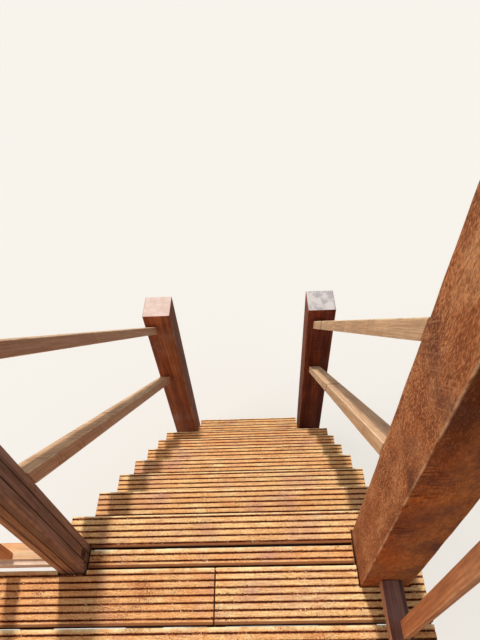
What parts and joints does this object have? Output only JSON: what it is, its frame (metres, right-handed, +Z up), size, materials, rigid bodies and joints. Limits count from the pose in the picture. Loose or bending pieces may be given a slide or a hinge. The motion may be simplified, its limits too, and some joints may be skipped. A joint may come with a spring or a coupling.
{
  "type": "wooden deck stairs",
  "caption": "Open wooden garden stairs with ribbed treads on notched stringers, sloping rails between square posts, and a railed landing on legs.",
  "frame": {"origin": "on the ground, under the middle of the outline seen from above", "axes": "+Z up, +Y down the flight away from the landing, +X to the right of someone walking down"},
  "size_m": [2.235, 2.664, 3.181],
  "materials": {
    "framing": "matt sawn wood",
    "decking": "matt ribbed wood",
    "lower_posts": "planed red-brown hardwood",
    "grooved_posts": "planed brown wood",
    "heavy_post": "rough sawn wood",
    "rails": "planed pale wood",
    "balusters": "planed wood"
  },
  "bodies": {
    "root": {"left_stringer": "framing", "right_stringer": "framing", "tread_1": "decking", "tread_2": "decking", "tread_3": "decking", "tread_4": "decking", "tread_5": "decking", "tread_6": "decking", "tread_7": "decking", "tread_8": "decking", "tread_9": "decking", "lower_left_post": "lower_posts", "lower_right_post": "lower_posts", "upper_left_post": "grooved_posts", "upper_right_post": "heavy_post", "front_left_post": "grooved_posts", "rear_left_post": "grooved_posts", "rear_right_post": "grooved_posts", "left_top_rail": "rails", "left_middle_rail": "rails", "right_top_rail": "rails", "right_middle_rail": "rails", "landing_boards": "decking", "front_beam": "framing", "rear_beam": "framing", "left_rim_beam": "framing", "right_rim_beam": "framing", "landing_joists": "framing", "front_bottom_rail": "rails", "front_guard_rail": "rails", "front_balusters": "balusters", "right_bottom_rail": "rails", "right_guard_rail": "rails", "right_balusters": "balusters", "left_bottom_rail": "rails", "left_guard_rail": "rails", "left_balusters": "balusters"}
  },
  "joints": []
}
